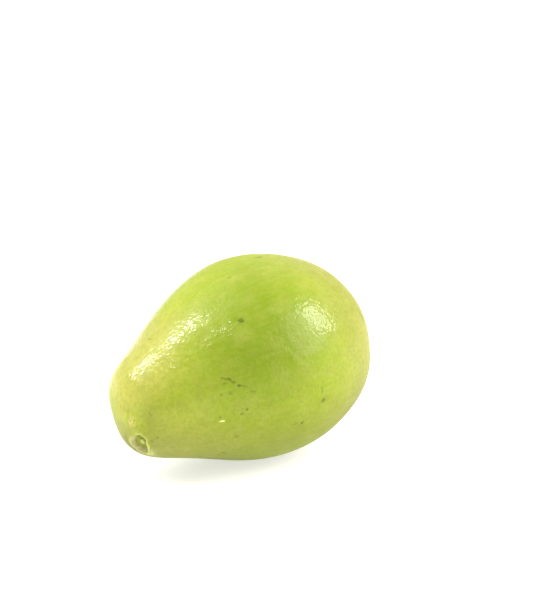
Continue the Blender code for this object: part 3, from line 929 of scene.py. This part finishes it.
def dried_sepal_finish():
    """Dried calyx leaf: withered tissue, matt and papery, green at its root and near black at its rim."""
    finish, tree, shader = new_finish("withered_sepal", Metallic=0.0, IOR=1.45)
    place = place_in_mm(tree)
    fact = {}
    for name in ("share", "side", "inner"):
        fact[name] = add_node(tree, "ShaderNodeAttribute", attribute_name=name).outputs["Fac"]
    inputs = {"Value": fact["share"], "From Min": SEPAL_WITHERED[0], "From Max": SEPAL_WITHERED[1]}
    tip = add_node(tree, "ShaderNodeMapRange", inputs, interpolation_type="SMOOTHSTEP").outputs[0]
    inputs = {"Value": fact["side"], "From Min": SEPAL_RIM[0], "From Max": SEPAL_RIM[1]}
    rim = add_node(tree, "ShaderNodeMapRange", inputs, interpolation_type="SMOOTHSTEP").outputs[0]
    # Inside the cup, the black of the rim and the brown of the inner face are painted shade
    leaf = painted(
        tree,
        linear("#6A5A2E"),
        (cloud(tree, place, 1.4, 0.35, 0.65, detail=3.0), 1, "#7F8440"),
        (tip, 1, "#5A4524"),
        (rim, 1, "#33250F"),
        (fact["inner"], 0.75, "#3E2A1A"),
        (cloud(tree, place, 0.35, 0.55, 0.7, detail=3.0), 0.4, "#A8965C"),
    )
    tree.links.new(leaf, shader.inputs["Base Color"])
    inputs = {"Value": cloud(tree, place, 0.8, 0.3, 0.7, detail=3.0), "To Min": 0.55, "To Max": 0.8}
    tree.links.new(add_node(tree, "ShaderNodeMapRange", inputs).outputs[0], shader.inputs["Roughness"])
    inputs = {"Vector": place, "Scale": 1 / WRINKLE_SIZE, "Detail": 3.0}
    wrinkles = add_node(tree, "ShaderNodeTexNoise", inputs).outputs[0]
    tree.links.new(pebbled(tree, (wrinkles, WRINKLE_HEIGHT)), shader.inputs["Normal"])
    return finish


def stamen_finish():
    """Dried flower threads: straw brown and matt, darker at the tip."""
    finish, tree, shader = new_finish("dry_thread", Metallic=0.0, IOR=1.45, Roughness=0.75)
    share = add_node(tree, "ShaderNodeAttribute", attribute_name="share").outputs["Fac"]
    tree.links.new(painted(tree, linear("#8A7442"), (share, 1, "#4A3219")), shader.inputs["Base Color"])
    return finish


def sheet_finish():
    """Matt white paper on a light table: it gives no sheen, and its own glow keeps the shadow thin."""
    finish, tree, shader = new_finish(
        "studio_paper",
        Metallic=0.0,
        IOR=1.45,
        Roughness=0.9,
        Emission_Color=(1, 1, 1, 1),
        Emission_Strength=SHEET_GLOW,
    )
    inputs = {"Vector": place_in_mm(tree), "Scale": 1 / PAPER_FIBRE, "Detail": 2.0}
    fibres = add_node(tree, "ShaderNodeTexNoise", inputs).outputs[0]
    tree.links.new(painted(tree, linear("#B9B9B8"), (fibres, 1, "#BCBCBB")), shader.inputs["Base Color"])
    return finish


# Studio


def from_view(right, away, up):
    """A way given as the picture sees it, turned into the fruit's own frame."""
    c, s = math.cos(VIEW_TURN), math.sin(VIEW_TURN)
    return Vector((right * c - away * s, right * s + away * c, up))


def build_floor():
    half = SHEET_HALF
    mesh = bpy.data.meshes.new("paper_sheet")
    corners = [(-half, -half, 0), (half, -half, 0), (half, half, 0), (-half, half, 0)]
    mesh.from_pydata(corners, [], [(0, 1, 2, 3)])
    mesh.materials.append(sheet_finish())
    floor = bpy.data.objects.new("paper_sheet", mesh)
    floor.location.z = -SHEET_DROP * MM
    bpy.context.scene.collection.objects.link(floor)


def soft_light(name, way, distance, width, height, power, mirrored):
    """A softbox that faces the fruit; one that isn't mirrored lights it without showing in its sheen."""
    lamp = bpy.data.lights.new(name, "AREA")
    lamp.shape = "RECTANGLE"
    lamp.size, lamp.size_y = width, height
    lamp.energy = power
    lamp.color = linear(LAMP_COLOUR)[:3]
    box = bpy.data.objects.new(name, lamp)
    way = from_view(*way).normalized()
    box.location = way * distance + Vector((0, 0, AIM_HEIGHT))
    box.rotation_euler = way.to_track_quat("Z", "Y").to_euler()
    box.visible_glossy = mirrored
    bpy.context.scene.collection.objects.link(box)


def build_light():
    """The softboxes in a white room, which is dimmer to the fruit than it looks to the camera."""
    for name, box in SOFTBOXES.items():
        soft_light(name, *box)

    world = bpy.data.worlds.new("studio")
    world.use_nodes = True
    bpy.context.scene.world = world
    tree = world.node_tree
    seen = tree.nodes["Background"]
    seen.inputs["Strength"].default_value = 1.0
    seen.inputs["Color"].default_value = (1, 1, 1, 1)
    path = add_node(tree, "ShaderNodeLightPath").outputs
    inputs = {"Value": path["Is Glossy Ray"], "To Min": ROOM_GLOW, "To Max": ROOM_GLOW_MIRRORED}
    strength = add_node(tree, "ShaderNodeMapRange", inputs).outputs[0]
    lit = add_node(tree, "ShaderNodeBackground", {"Color": (1, 1, 1, 1), "Strength": strength})
    inputs = {0: path["Is Camera Ray"], 1: lit.outputs[0], 2: seen.outputs[0]}
    both = add_node(tree, "ShaderNodeMixShader", inputs)
    tree.links.new(both.outputs[0], tree.nodes["World Output"].inputs["Surface"])
    bpy.context.scene.view_settings.view_transform = "Standard"


def build_camera(shift):
    lens = bpy.data.cameras.new("studio_camera")
    camera = bpy.data.objects.new("studio_camera", lens)
    bpy.context.scene.collection.objects.link(camera)
    bpy.context.scene.camera = camera
    lens.sensor_fit = "VERTICAL"
    lens.sensor_height = SENSOR_HEIGHT
    lens.lens = SENSOR_HEIGHT * PIXELS_PER_MM * CAMERA_DISTANCE / PICTURE_HEIGHT
    lens.clip_start, lens.clip_end = 0.01, 20

    middle = Vector(shift) * MM
    back = from_view(0, -math.cos(VIEW_RISE), math.sin(VIEW_RISE))
    right = from_view(1, 0, 0)
    up = back.cross(right)
    camera.location = middle + back * CAMERA_DISTANCE * MM
    aside = (PICTURE_WIDTH / 2 - MIDDLE_ACROSS) / PIXELS_PER_MM * MM
    above = (MIDDLE_DOWN - PICTURE_HEIGHT / 2) / PIXELS_PER_MM * MM
    target = middle + right * aside + up * above
    camera.rotation_euler = (target - camera.location).to_track_quat("-Z", "Y").to_euler()


def main():
    skin = skin_places()
    build_camera(skin.shift)
    build_skin(skin, guava_skin_finish(skin.shift))
    build_calyx(dried_sepal_finish(), stamen_finish(), skin.shift)
    build_floor()
    build_light()


main()
